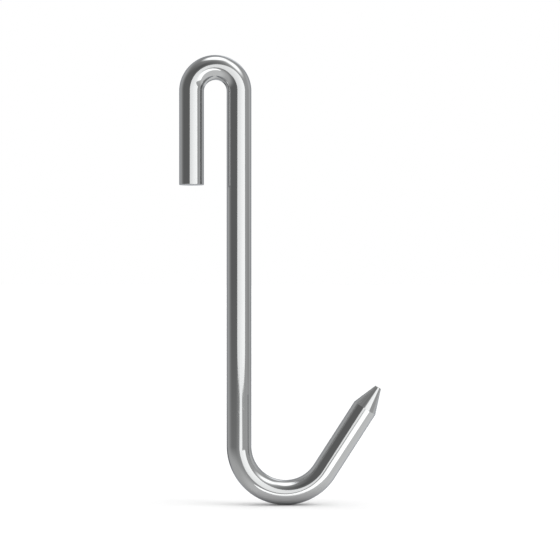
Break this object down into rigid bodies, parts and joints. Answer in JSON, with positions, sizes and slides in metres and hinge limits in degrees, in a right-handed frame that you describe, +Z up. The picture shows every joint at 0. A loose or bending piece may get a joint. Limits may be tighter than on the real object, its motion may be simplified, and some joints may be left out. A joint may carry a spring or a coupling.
{
  "type": "j hook",
  "caption": "Rail hook bent from round steel bar: a tight upper bend for a rail, a long shank and a wide lower bend whose arm leans out to a ground point.",
  "frame": {"origin": "the rail seat: the highest point of the inside of the upper bend, on the hook's middle plane", "axes": "+Z up along the shank; +X from the short leg towards the side that the arm rises on; +Y through the thickness of the bar"},
  "size_m": [0.0815, 0.01, 0.1818],
  "materials": {
    "polished_steel": "polished"
  },
  "bodies": {
    "root": {"hook": "polished_steel"}
  },
  "joints": []
}
